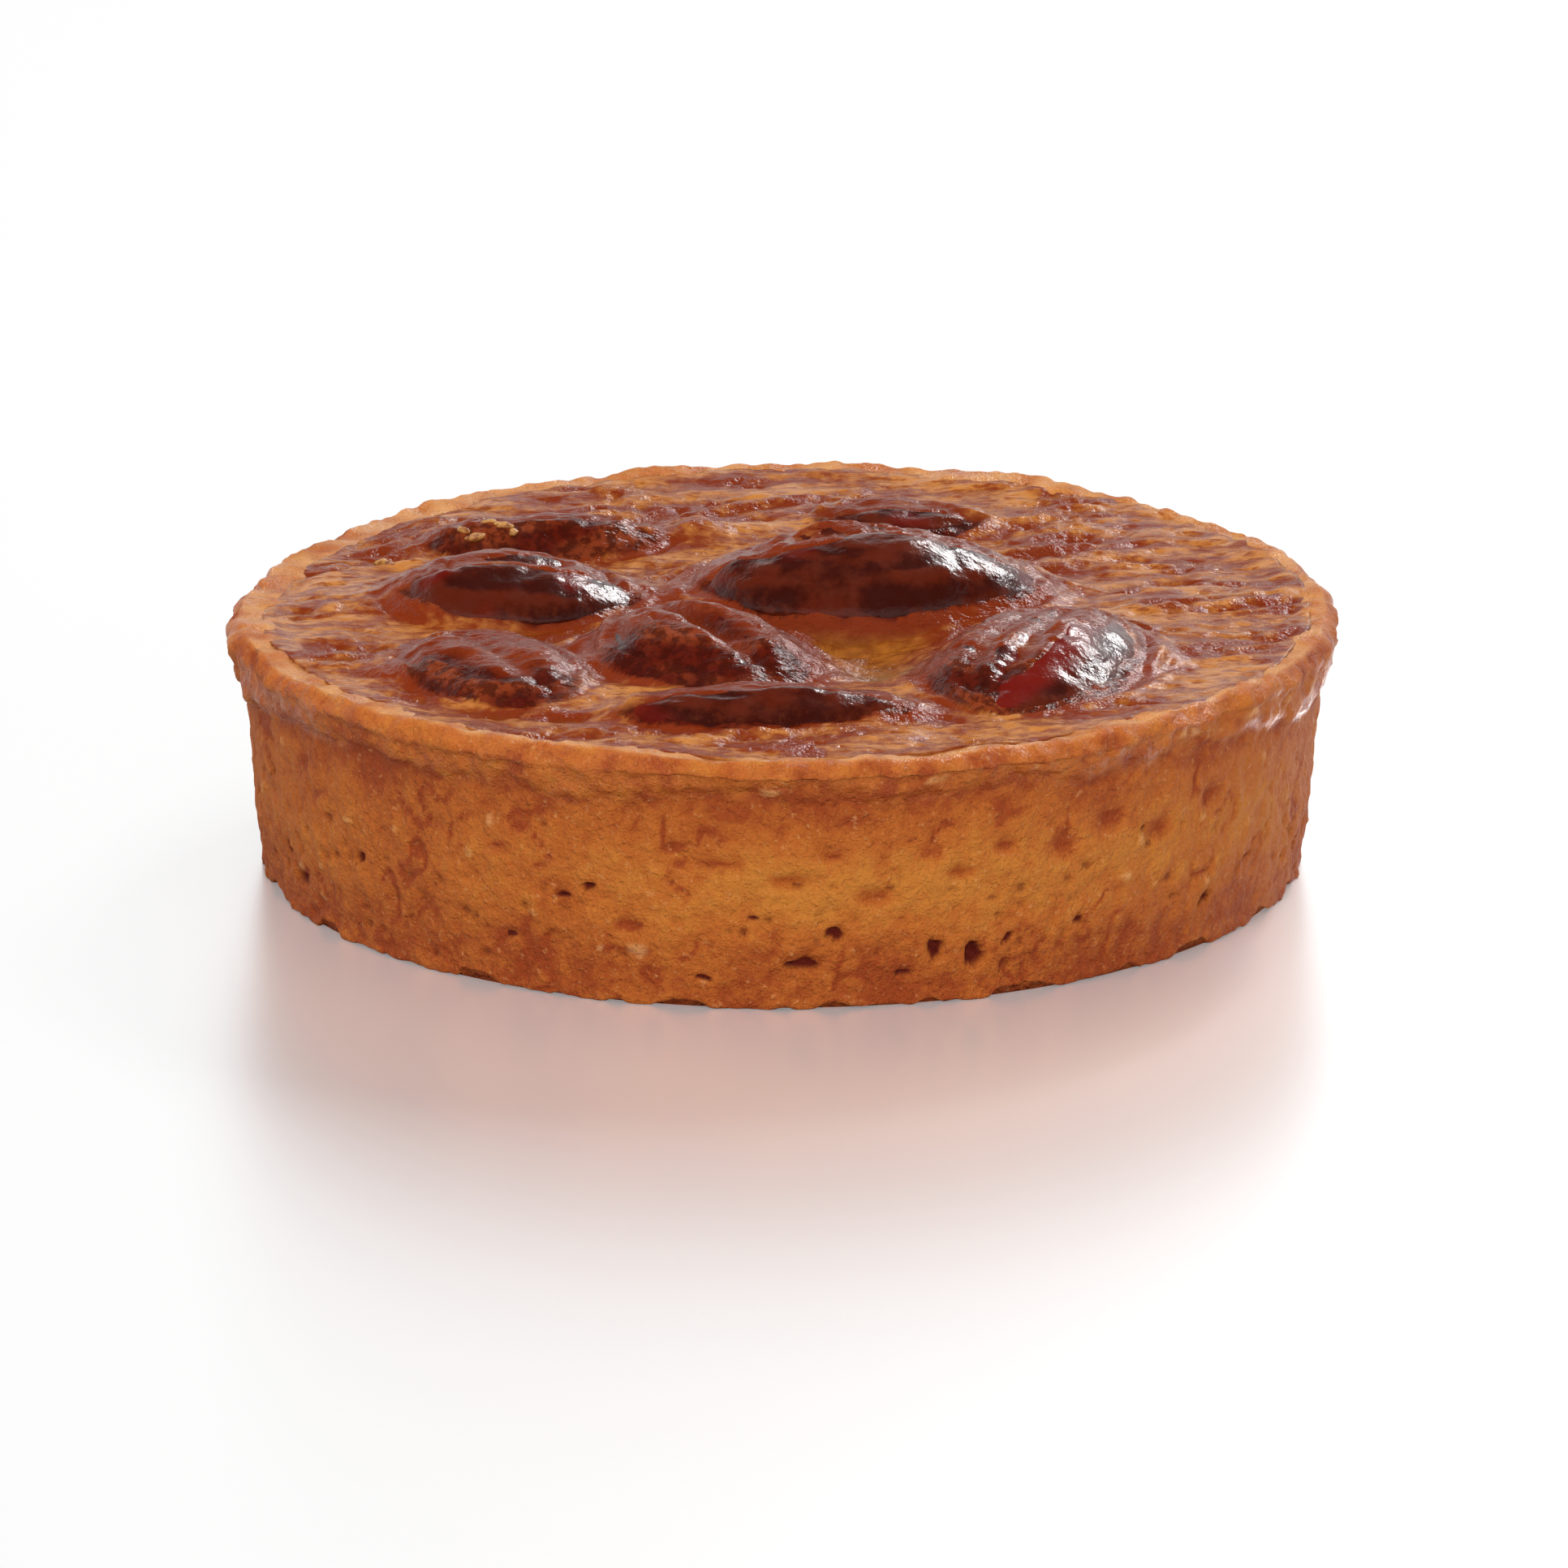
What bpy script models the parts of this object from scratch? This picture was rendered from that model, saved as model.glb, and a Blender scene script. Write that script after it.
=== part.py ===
"""A small round pecan tart, baked in a ring and taken out of it: a shortcrust case with a lip that
leans out, a filling that comes up to the lip, and eight pecan halves that stand out of it.

Metres, +Z up. The origin is in the middle of the flat underside.
"""

import math

import bmesh
import bpy
import numpy as np
from mathutils import Euler

MM = 0.001
GAP = 0.3 * MM

# Shortcrust case: radii and heights of its outside and inside
FOOT_RADIUS = 38.5 * MM
FOOT_ROUNDING = 0.7 * MM
WALL_LOW_RADIUS = 39.8 * MM
WALL_LOW_HEIGHT = 2.0 * MM
WALL_TOP_RADIUS = 40.9 * MM
LIP_RADIUS = 42.5 * MM
CREST_RADIUS = 41.2 * MM
CREST_HEIGHT = 19.7 * MM
LIP_DROP = 2.9 * MM
LIP_DROP_SWING = 0.9 * MM
LIP_FLARE = 1.3 * MM
MOUTH_RADIUS = 38.4 * MM
PASTRY_WALL = 3.1 * MM
PASTRY_FLOOR = 3.5 * MM
BACK_LEFT_SAG = 0.5 * MM
BACK_LEFT_ANGLE = math.radians(145)

# Hand-pressed pastry is never quite round: (waves round the rim, size, phase)
RIM_WAVES = ((2, 0.12 * MM, 0.6), (5, 0.10 * MM, 2.1), (9, 0.08 * MM, 4.0), (14, 0.06 * MM, 1.2))
WALL_WAVES = ((3, 0.12 * MM, 1.0), (7, 0.08 * MM, 3.3), (11, 0.06 * MM, 5.1))

# Filling
FILLING_LEVEL = 19.25 * MM
FILLING_RINGS = 11
HOLLOWS = (  # where it sank in the oven: (x, y, radius, depth)
    (6.0 * MM, -13.0 * MM, 8.0 * MM, 1.3 * MM),
    (8.5 * MM, -22.5 * MM, 3.0 * MM, 1.0 * MM),
    (-17.0 * MM, -7.5 * MM, 3.5 * MM, 0.5 * MM),
)

SEGMENTS = 72

# Pecan halves: the widest outline lies a little under the filling's level
PECAN_STATIONS = 11
PECAN_SIDES = 16
PECAN_BELLY = 2.2 * MM
PECAN_GROOVE_WIDTH = 0.15
PECAN_GROOVE_DEPTH = 0.26

# (name, length, width, dome height), (x, y, z), then (roll, pitch, yaw) in degrees, and where the
# grooves run along the back, from -1 at one side to 1 at the other
PECANS = (
    ("pecan_back_left", (21.0, 15.0, 5.2), (-19.6, 4.2, 18.6), (-6, 1, 8), (-0.34, 0.34)),
    ("pecan_back_right", (27.5, 18.0, 6.0), (6.6, 5.6, 18.7), (-7, 1, 2), (-0.36, 0.34)),
    ("pecan_centre", (20.5, 15.5, 4.7), (-6.0, -13.2, 18.6), (0, 3, -52), (0.0,)),
    ("pecan_front_left", (18.5, 13.0, 3.2), (-21.4, -17.2, 18.7), (0, 2, -56), (0.0,)),
    ("pecan_front", (23.5, 7.0, 2.7), (-1.2, -27.4, 18.8), (6, 0, 2), (0.3,)),
    ("pecan_right", (25.0, 15.5, 4.6), (19.4, -15.6, 18.6), (4, -2, 70), (-0.38, 0.34)),
    ("pecan_back", (15.0, 8.0, 2.0), (9.0, 24.6, 18.8), (6, 0, -6), (0.3,)),
    ("pecan_far_left", (19.0, 9.0, 3.3), (-18.4, 18.4, 18.7), (3, 0, 6), (0.34,)),
)

# Finishes: colour, roughness
CRUST_LOOK = ((0.46, 0.17, 0.035, 1.0), 0.75)
FILLING_LOOK = ((0.30, 0.10, 0.035, 1.0), 0.3)
PECAN_LOOK = ((0.12, 0.012, 0.005, 1.0), 0.25)


def clear_scene():
    for old in list(bpy.data.objects):
        bpy.data.objects.remove(old)


def finish_material(name, look):
    colour, roughness = look
    material = bpy.data.materials.new(name)
    material.use_nodes = True
    shader = material.node_tree.nodes["Principled BSDF"]
    shader.inputs["Base Color"].default_value = colour
    shader.inputs["Roughness"].default_value = roughness
    shader.inputs["Metallic"].default_value = 0.0
    return material


def new_object(name, points, faces, material, location=(0, 0, 0), rotation=(0, 0, 0)):
    mesh = bpy.data.meshes.new(name)
    mesh.from_pydata([tuple(p) for p in points], [], faces)
    mesh.materials.append(material)
    bm = bmesh.new()
    bm.from_mesh(mesh)
    bmesh.ops.recalc_face_normals(bm, faces=bm.faces)
    bm.to_mesh(mesh)
    bm.free()
    mesh.shade_smooth()
    piece = bpy.data.objects.new(name, mesh)
    bpy.context.collection.objects.link(piece)
    piece.location = location
    piece.rotation_euler = Euler(rotation)
    return piece


def lofted_faces(rings, sides):
    """Quads between closed rings of points, and a fan from the first and the last point."""
    faces = []
    for ring in range(rings - 1):
        for side in range(sides):
            following = (side + 1) % sides
            low = ring * sides
            high = low + sides
            faces.append((low + side, low + following, high + following, high + side))
    first_tip = rings * sides
    last_tip = first_tip + 1
    last_ring = (rings - 1) * sides
    for side in range(sides):
        following = (side + 1) % sides
        faces.append((first_tip, following, side))
        faces.append((last_tip, last_ring + side, last_ring + following))
    return faces


def waves(angle, table):
    return sum(size * math.sin(count * angle + phase) for count, size, phase in table)


def case_profile(angle):
    """The case's section at one angle, from the foot up the outside and down to the floor."""
    bulge = waves(angle, WALL_WAVES)
    uneven = waves(angle, RIM_WAVES)
    sag = BACK_LEFT_SAG * max(0.0, math.cos(angle - BACK_LEFT_ANGLE)) ** 4
    top = CREST_HEIGHT + 0.5 * uneven - sag
    drop = LIP_DROP + LIP_DROP_SWING * math.cos(2 * angle) + uneven
    lip = LIP_RADIUS + uneven
    wall = WALL_TOP_RADIUS + bulge
    inner_top = WALL_TOP_RADIUS - PASTRY_WALL
    inner_foot = WALL_LOW_RADIUS - PASTRY_WALL
    return [
        (FOOT_RADIUS, 0.0),
        (WALL_LOW_RADIUS - FOOT_ROUNDING, 0.4 * FOOT_ROUNDING),
        (WALL_LOW_RADIUS + 0.5 * bulge, WALL_LOW_HEIGHT),
        (0.5 * (WALL_LOW_RADIUS + wall), 0.45 * top),
        (wall, top - drop - LIP_FLARE),
        (wall + 0.55 * (lip - wall), top - drop),
        (lip - 0.1 * MM, top - 0.5 * drop),
        (lip, top - 1.0 * MM),
        (0.4 * CREST_RADIUS + 0.6 * lip, top - 0.3 * MM),
        (CREST_RADIUS, top),
        (0.5 * (CREST_RADIUS + MOUTH_RADIUS), top - 0.2 * MM),
        (MOUTH_RADIUS, FILLING_LEVEL - 0.1 * MM),
        (inner_top, FILLING_LEVEL - 1.5 * MM),
        (inner_foot, PASTRY_FLOOR + 1.2 * MM),
        (inner_foot - 1.2 * MM, PASTRY_FLOOR),
    ]


def shortcrust_case(material):
    profiles = []
    angles = [math.tau * step / SEGMENTS for step in range(SEGMENTS)]
    for angle in angles:
        profiles.append(case_profile(angle))
    rings = len(profiles[0])
    points = []
    for ring in range(rings):
        for angle, profile in zip(angles, profiles):
            radius, height = profile[ring]
            points.append((radius * math.cos(angle), radius * math.sin(angle), height))
    points = np.array(points + [(0, 0, 0), (0, 0, PASTRY_FLOOR)])
    middle = 0.5 * (points[:, :2].max(axis=0) + points[:, :2].min(axis=0))
    points[:, :2] -= middle
    return new_object("crust", points, lofted_faces(rings, SEGMENTS), material)


def filling_height(x, y):
    sunk = 0.0
    for hollow_x, hollow_y, radius, depth in HOLLOWS:
        away = ((x - hollow_x) ** 2 + (y - hollow_y) ** 2) / radius**2
        sunk += depth * math.exp(-away)
    return FILLING_LEVEL - sunk


def baked_filling(material, pockets):
    """The filling fills the case, a gap clear of it, with a pocket round each pecan half."""
    edge = MOUTH_RADIUS - 1.4 * GAP
    radii = [edge * (step / FILLING_RINGS) ** 0.9 for step in range(1, FILLING_RINGS + 1)]
    radii.reverse()
    wall = [
        (WALL_LOW_RADIUS - PASTRY_WALL - 1.2 * MM - GAP, PASTRY_FLOOR + GAP),
        (WALL_LOW_RADIUS - PASTRY_WALL - GAP, PASTRY_FLOOR + 1.2 * MM + GAP),
        (WALL_TOP_RADIUS - PASTRY_WALL - 1.2 * GAP, FILLING_LEVEL - 1.5 * MM),
    ]
    rings = len(wall) + len(radii)
    points = []
    for radius, height in wall:
        for step in range(SEGMENTS):
            angle = math.tau * step / SEGMENTS
            points.append((radius * math.cos(angle), radius * math.sin(angle), height))
    for radius in radii:
        for step in range(SEGMENTS):
            angle = math.tau * step / SEGMENTS
            x = radius * math.cos(angle)
            y = radius * math.sin(angle)
            points.append((x, y, filling_height(x, y)))
    points += [(0, 0, PASTRY_FLOOR + GAP), (0, 0, filling_height(0, 0))]
    filling = new_object("filling", points, lofted_faces(rings, SEGMENTS), material)
    for pocket in pockets:
        cut = filling.modifiers.new(pocket.name, "BOOLEAN")
        cut.operation = "DIFFERENCE"
        cut.object = pocket
    return filling


def groove_share(across, grooves):
    """How deep in a groove a place across the back is: 1 in its middle, 0 away from all of them."""
    return sum(math.exp(-(((across - at) / PECAN_GROOVE_WIDTH) ** 2)) for at in grooves)


def pecan_mesh(length, width, dome, belly, grooves):
    """Half a pecan kernel, long way along X: a rounded spindle with grooves along its back."""
    points = []
    for station in range(PECAN_STATIONS):
        turn = math.pi * (station + 1) / (PECAN_STATIONS + 1)
        along = -math.cos(turn)
        fullness = (1 - abs(along) ** 2.3) ** 0.6
        half_width = 0.5 * width * fullness * (1 - 0.08 * along)
        height = dome * fullness**0.85
        for side in range(PECAN_SIDES):
            angle = math.tau * side / PECAN_SIDES
            across = math.cos(angle)
            rise = math.sin(angle)
            if rise > 0:
                dip = PECAN_GROOVE_DEPTH * groove_share(across, grooves) * fullness
                z = height * (rise**0.8) * (1 - dip)
            else:
                z = belly * fullness * rise
            points.append((0.5 * length * along, half_width * across, z))
    points += [(-0.5 * length, 0, 0), (0.5 * length, 0, 0)]
    return points, lofted_faces(PECAN_STATIONS, PECAN_SIDES)


def pecan_half(name, size, place, turn, grooves, material, spare=0.0):
    """A pecan half, or with spare room all round it the cutter for its pocket."""
    length, width, dome = (value * MM for value in size)
    length += 2.5 * spare
    width += 2.5 * spare
    dome += 1.2 * spare
    points, faces = pecan_mesh(length, width, dome, PECAN_BELLY + 1.2 * spare, grooves)
    location = [value * MM for value in place]
    rotation = [math.radians(value) for value in turn]
    return new_object(name, points, faces, material, location, rotation)


clear_scene()
crust_material = finish_material("crust", CRUST_LOOK)
filling_material = finish_material("filling", FILLING_LOOK)
pecan_material = finish_material("pecan", PECAN_LOOK)

shortcrust_case(crust_material)

pocket_cutters = []
for pecan_name, *pecan_shape in PECANS:
    pecan_half(pecan_name, *pecan_shape, pecan_material)
    cutter = pecan_half(pecan_name + "_pocket", *pecan_shape, pecan_material, spare=GAP)
    cutter.hide_render = True
    cutter.display_type = "WIRE"
    pocket_cutters.append(cutter)

baked_filling(filling_material, pocket_cutters)
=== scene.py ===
import math

import bpy
import numpy as np
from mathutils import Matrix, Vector
from mathutils.bvhtree import BVHTree


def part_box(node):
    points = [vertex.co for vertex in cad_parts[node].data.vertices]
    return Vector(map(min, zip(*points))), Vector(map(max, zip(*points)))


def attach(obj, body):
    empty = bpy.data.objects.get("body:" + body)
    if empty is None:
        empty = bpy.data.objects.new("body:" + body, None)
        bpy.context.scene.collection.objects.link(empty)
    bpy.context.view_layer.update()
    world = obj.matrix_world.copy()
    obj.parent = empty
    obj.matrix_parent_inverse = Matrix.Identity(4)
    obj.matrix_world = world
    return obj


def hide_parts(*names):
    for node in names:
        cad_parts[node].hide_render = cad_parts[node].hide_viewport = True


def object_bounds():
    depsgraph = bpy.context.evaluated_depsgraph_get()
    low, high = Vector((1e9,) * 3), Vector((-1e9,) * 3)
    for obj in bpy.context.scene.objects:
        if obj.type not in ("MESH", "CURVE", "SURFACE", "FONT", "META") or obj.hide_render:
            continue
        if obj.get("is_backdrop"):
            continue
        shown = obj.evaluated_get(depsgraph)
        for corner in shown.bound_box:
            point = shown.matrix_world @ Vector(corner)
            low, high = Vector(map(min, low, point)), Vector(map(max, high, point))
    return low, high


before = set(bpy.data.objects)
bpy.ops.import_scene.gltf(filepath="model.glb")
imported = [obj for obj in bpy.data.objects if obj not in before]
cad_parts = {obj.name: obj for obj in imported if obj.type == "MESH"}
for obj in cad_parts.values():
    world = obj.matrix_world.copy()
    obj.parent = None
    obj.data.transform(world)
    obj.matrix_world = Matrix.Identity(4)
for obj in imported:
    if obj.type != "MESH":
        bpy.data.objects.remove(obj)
cad_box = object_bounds()
mm = 0.001

# ---------------------------------------------------------------- the shortcrust case
# Sweet shortcrust, pressed into a ring by hand and baked: a nearly straight wall that took the
# ring's shape, a lip folded out over its top, and a foot that frills where the dough ran short.
# It is dry and finely grained, with air pits in the wall and egg glaze on the lip.

case_low, case_high = (np.array(corner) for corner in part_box("crust"))
lip_radius = 0.5 * (case_high[0] - case_low[0]) - 0.65 * mm
crest_height = case_high[2] - 0.12 * mm
crest_radius = lip_radius - 0.9 * mm
mouth_radius = lip_radius - 2.6 * mm
wall_top_radius = lip_radius - 1.2 * mm
wall_low_radius = lip_radius - 2.4 * mm
foot_radius = wall_low_radius - 0.6 * mm
filling_level = crest_height - 0.45 * mm
case_steps = 840


def lattice_directions(seed):
    random = np.random.default_rng(seed)
    directions = random.normal(size=(4096, 3))
    return directions / np.linalg.norm(directions, axis=1)[:, None]


def grain(points, size, seed):
    """Smooth random relief at 3-D points, about -1 to 1, with lumps of the given size (x, y, z)."""
    directions = lattice_directions(seed)
    cell = points / np.broadcast_to(size, 3) + 13.7 * (seed + 1)
    low = np.floor(cell).astype(np.int64)
    inside = cell - low
    ease = inside**3 * (inside * (6 * inside - 15) + 10)
    total = np.zeros(len(points))
    for corner in np.ndindex(2, 2, 2):
        at = low + corner
        mixed = at[:, 0] * 73856093 ^ at[:, 1] * 19349663 ^ at[:, 2] * 83492791
        slope = directions[np.mod(mixed, 4096)]
        share = np.prod(np.where(np.array(corner) == 1, ease, 1 - ease), axis=1)
        total += share * np.sum(slope * (inside - corner), axis=1)
    return 1.7 * total


def smooth_step(low, high, value):
    part = np.clip((value - low) / (high - low), 0, 1)
    return part * part * (3 - 2 * part)


def new_piece(name, points, faces, material, values=None):
    """A smooth mesh object; values are named numbers for its points, for its material to read."""
    mesh = bpy.data.meshes.new(name)
    mesh.from_pydata(np.asarray(points).tolist(), [], faces)
    mesh.materials.append(material)
    for value_name, numbers in (values or {}).items():
        layer = mesh.attributes.new(value_name, "FLOAT", "POINT")
        layer.data.foreach_set("value", np.asarray(numbers, dtype=np.float32))
    mesh.shade_smooth()
    piece = bpy.data.objects.new(name, mesh)
    bpy.context.collection.objects.link(piece)
    return piece


def ring_faces(rings, steps):
    """Quads between closed rings of points that follow each other."""
    ring = np.arange(rings - 1)[:, None] * steps
    step = np.arange(steps)[None, :]
    following = (step + 1) % steps
    return np.stack([ring + step, ring + following, ring + steps + following,
                     ring + steps + step], axis=-1).reshape(-1, 4)


def srgb(red, green, blue):
    """A colour as seen, 0 to 255, as the linear colour that a shader takes."""
    seen = np.array([red, green, blue]) / 255
    linear = np.where(seen <= 0.04045, seen / 12.92, ((seen + 0.055) / 1.055) ** 2.4)
    return (*linear, 1.0)


# Wall section, from the foot up: (height, radius); the lip's own section starts above it
wall_rows = 52
lip_rows = 26
top_rows = 15

case_turn = np.linspace(0, math.tau, case_steps, endpoint=False)
around = np.stack([np.cos(case_turn), np.sin(case_turn), np.zeros(case_steps)], axis=1)


def rim_wave(turn, table):
    return sum(size * np.sin(count * turn + phase) for count, size, phase in table)


lip_wave = rim_wave(case_turn, ((2, .10, .6), (5, .10, 2.1), (9, .09, 4.0), (14, .08, 1.2),
                                (23, .06, .3), (37, .04, 2.2))) * mm
crest_wave = rim_wave(case_turn, ((3, .08, 2.6), (6, .07, 0.4), (11, .07, 3.0), (19, .05, 5.2),
                                  (31, .04, 1.1))) * mm
mouth_wave = rim_wave(case_turn, ((2, .25, 1.1), (5, .22, 4.4), (8, .2, 0.2), (13, .16, 2.9),
                                  (21, .12, 5.0), (34, .07, 0.8))) * mm
fold_wave = rim_wave(case_turn, ((3, .25, 0.9), (7, .22, 3.1), (12, .2, 5.5), (20, .14, 1.9),
                                 (33, .1, 4.1))) * mm
left_share = np.maximum(0, np.cos(case_turn - math.radians(170))) ** 3
mouth_edge = mouth_radius + mouth_wave - 1.5 * mm * left_share
back_left_sag = 0.5 * mm * np.maximum(0, np.cos(case_turn - math.radians(145))) ** 4
lip_top = crest_height + crest_wave - back_left_sag
lip_drop = 2.9 * mm + 0.9 * mm * np.cos(2 * case_turn) + fold_wave
lip_out = lip_radius + lip_wave
foot_lift_wave = rim_wave(case_turn, ((17, .5, 1.0), (29, .45, 2.0), (43, .4, 0.5), (61, .25, 4.0)))
foot_lift = 0.75 * mm * smooth_step(-0.1, 1.0, foot_lift_wave)


def section_points(rows):
    """Points of the case's skin, ring by ring, from (radius, height) arrays round the case."""
    rings = []
    for radius, height in rows:
        ring = around * np.broadcast_to(radius, case_steps)[:, None]
        ring[:, 2] = height
        rings.append(ring)
    return np.array(rings)


def through(knots, part):
    """A smooth curve through a few (radius, height) knots, at a part 0 to 1 of its way."""
    spans = len(knots) - 1
    at = min(int(part * spans), spans - 1)
    local = part * spans - at
    before = knots[max(at - 1, 0)]
    start = knots[at]
    end = knots[at + 1]
    after = knots[min(at + 2, spans)]
    result = []
    for axis in (0, 1):
        p0, p1, p2, p3 = before[axis], start[axis], end[axis], after[axis]
        result.append(0.5 * (2 * p1 + (p2 - p0) * local + (2 * p0 - 5 * p1 + 4 * p2 - p3) * local**2
                             + (3 * p1 - p0 - 3 * p2 + p3) * local**3))
    return result


wall_knots = [
    (foot_radius + 0.1 * mm, foot_lift + 0.02 * mm),
    (wall_low_radius - 0.02 * mm, foot_lift + 0.15 * mm),
    (wall_low_radius + 0.03 * mm, 1.7 * mm + 0.5 * foot_lift),
    (0.5 * (wall_low_radius + wall_top_radius), 0.3 * crest_height),
    (wall_low_radius + 0.75 * (wall_top_radius - wall_low_radius), 0.5 * crest_height),
    (wall_top_radius, lip_top - lip_drop - 1.5 * mm),
]
lip_knots = [
    (wall_top_radius, lip_top - lip_drop - 1.5 * mm),
    (wall_top_radius + 0.15 * (lip_out - wall_top_radius), lip_top - lip_drop - 0.85 * mm),
    (wall_top_radius + 0.62 * (lip_out - wall_top_radius), lip_top - lip_drop - 0.05 * mm),
    (lip_out - 0.28 * mm, lip_top - 0.62 * lip_drop),
    (lip_out, lip_top - 1.15 * mm),
    (lip_out - 0.45 * mm, lip_top - 0.36 * mm),
    (crest_radius + lip_wave, lip_top),
]
top_knots = [
    (crest_radius + lip_wave, lip_top),
    (crest_radius - 0.5 * mm + lip_wave, lip_top - 0.08 * mm),
    (mouth_edge + 0.4 * mm, lip_top - 0.26 * mm),
    (mouth_edge - 0.3 * mm, lip_top - 0.9 * mm),
    (mouth_edge - 0.9 * mm, filling_level - 2.4 * mm),
]
rows = [through(wall_knots, (step / (wall_rows - 1)) ** 0.85) for step in range(wall_rows)]
rows += [through(lip_knots, step / lip_rows) for step in range(1, lip_rows + 1)]
rows += [through(top_knots, step / top_rows) for step in range(1, top_rows + 1)]
case_rings = section_points(rows)
ring_count = len(case_rings)
case_points = case_rings.reshape(-1, 3)
row_of = np.repeat(np.arange(ring_count), case_steps)
turn_of = np.tile(case_turn, ring_count)
height_of = case_points[:, 2]
on_lip = smooth_step(wall_rows - 2, wall_rows + 5, row_of.astype(float))
on_top = smooth_step(wall_rows + lip_rows - 6, wall_rows + lip_rows, row_of.astype(float))

# The way each point is pushed: out from the section
along_ring = np.roll(case_rings, -1, axis=1) - np.roll(case_rings, 1, axis=1)
up_section = np.gradient(case_rings, axis=0)
outward = np.cross(along_ring, up_section).reshape(-1, 3)
outward /= np.linalg.norm(outward, axis=1)[:, None] + 1e-12

# Unevenness of the hand-pressed dough, then its grain
relief = 0.18 * mm * grain(case_points, 9 * mm, 1)
relief += 0.16 * mm * grain(case_points, 3.2 * mm, 2)
relief += 0.13 * mm * grain(case_points, 1.6 * mm, 3)
relief += 0.11 * mm * grain(case_points, 0.85 * mm, 4)
lip_lumps = 0.3 * mm * grain(case_points, (2.4 * mm, 2.4 * mm, 2.0 * mm), 5)
lip_lumps += 0.16 * mm * grain(case_points, 1.1 * mm, 6)
relief += on_lip * (1 - 0.55 * on_top) * lip_lumps
creases = np.exp(-((grain(case_points, 2.4 * mm, 15) / 0.10) ** 2))
creases *= smooth_step(0.0, 0.5, grain(case_points, 5 * mm, 16))
relief -= 0.14 * mm * creases * (1 - on_lip)
from_front = np.degrees(np.angle(np.exp(1j * (turn_of + 0.5 * math.pi))))
wet = np.exp(-(((from_front + 24) / 10) ** 2)) * smooth_step(0.6, 0.9, on_top + 0.3 * on_lip)
relief += 0.14 * mm * wet * grain(case_points, 0.7 * mm, 17)
fold_edge = np.exp(-(((row_of - wall_rows - 0.42 * lip_rows) / 2.2) ** 2))
crumbly = smooth_step(-0.4, 0.5, grain(case_points, (3.5 * mm, 3.5 * mm, 30 * mm), 7))
crumbly *= 0.25 + 0.75 * smooth_step(-20, 10, from_front) * (1 - smooth_step(80, 130, from_front))
relief += fold_edge * crumbly * (0.15 * mm + 0.4 * mm * grain(case_points, 1.0 * mm, 8))

pit_depth = np.zeros(len(case_points))
hole_shade_share = np.zeros(len(case_points))
dent_shade = np.zeros(len(case_points))
pale = np.zeros(len(case_points))
front = -0.5 * math.pi


def mark(turn, height, half_width, half_height, sharpness, ragged):
    """1 inside a mark on the wall, 0 outside; ragged makes its edge uneven."""
    sideways = np.angle(np.exp(1j * (turn_of - turn))) * wall_low_radius / half_width
    upward = (height_of - height) / half_height
    near = (np.abs(sideways) < 2.5) & (np.abs(upward) < 2.5) & (row_of < wall_rows + 8)
    share = np.zeros(len(case_points))
    away = np.hypot(sideways[near], upward[near])
    away += ragged * grain(case_points[near], 0.8 * half_width + 0.2 * mm, 9)
    share[near] = np.exp(-np.abs(away) ** sharpness)
    return share


# Soft dents where bubbles lay against the ring: (degrees right of the front, height, half sizes)
dents = (
    (4.8, 12.1, 1.5, 0.45, 0.35), (1.0, 10.1, 1.7, 0.5, 0.4), (-6.2, 11.3, 1.5, 0.4, 0.3),
    (9.8, 8.7, 1.4, 0.6, 0.35), (-11.5, 12.6, 0.8, 0.4, 0.2), (15.5, 12.0, 0.9, 0.5, 0.25),
    (19.0, 10.2, 1.1, 0.5, 0.3), (24.0, 11.8, 0.9, 0.6, 0.3), (31.0, 11.0, 1.2, 0.8, 0.35),
    (37.0, 12.6, 1.0, 0.7, 0.35), (44.0, 10.8, 1.2, 0.8, 0.4), (52.0, 12.2, 1.0, 0.7, 0.35),
    (-31.0, 11.0, 0.9, 0.5, 0.25), (-42.0, 9.5, 0.9, 0.6, 0.25), (-16.0, 6.2, 1.0, 0.4, 0.25),
)
for degrees, height, half_width, half_height, depth in dents:
    dent = mark(front + math.radians(degrees), height * mm, half_width * mm, half_height * mm, 3, 0.2)
    pit_depth += 1.5 * depth * mm * dent
    dent_shade = np.maximum(dent_shade, dent)

# Torn holes low in the wall; their dark insides are painted shade
holes = (
    (1.8, 3.5, 1.15, 0.38, 0.9), (5.6, 6.0, 0.5, 0.55, 0.8), (16.3, 4.3, 0.6, 0.7, 0.9),
    (20.7, 3.5, 0.75, 0.85, 1.0), (-23.6, 8.0, 0.6, 0.35, 0.8), (-20.7, 8.9, 0.5, 0.3, 0.8),
    (24.5, 4.6, 0.4, 0.35, 0.6), (13.0, 2.6, 0.7, 0.25, 0.5), (-8.5, 2.4, 0.6, 0.2, 0.45),
    (-30.0, 4.4, 0.5, 0.22, 0.45), (33.0, 5.2, 0.45, 0.35, 0.5), (-3.0, 7.3, 0.35, 0.25, 0.4),
)
random = np.random.default_rng(17)
spread_holes = [
    (random.uniform(50, 330), random.uniform(2.2, 8.5), random.uniform(0.4, 1.1),
     random.uniform(0.25, 0.6), random.uniform(0.5, 0.9)) for _ in range(26)
]
for degrees, height, half_width, half_height, depth in list(holes) + spread_holes:
    hole = mark(front + math.radians(degrees), height * mm, half_width * mm, half_height * mm, 6, 0.5)
    pit_depth += depth * mm * hole
    hole_shade_share = np.maximum(hole_shade_share, hole)

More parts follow.
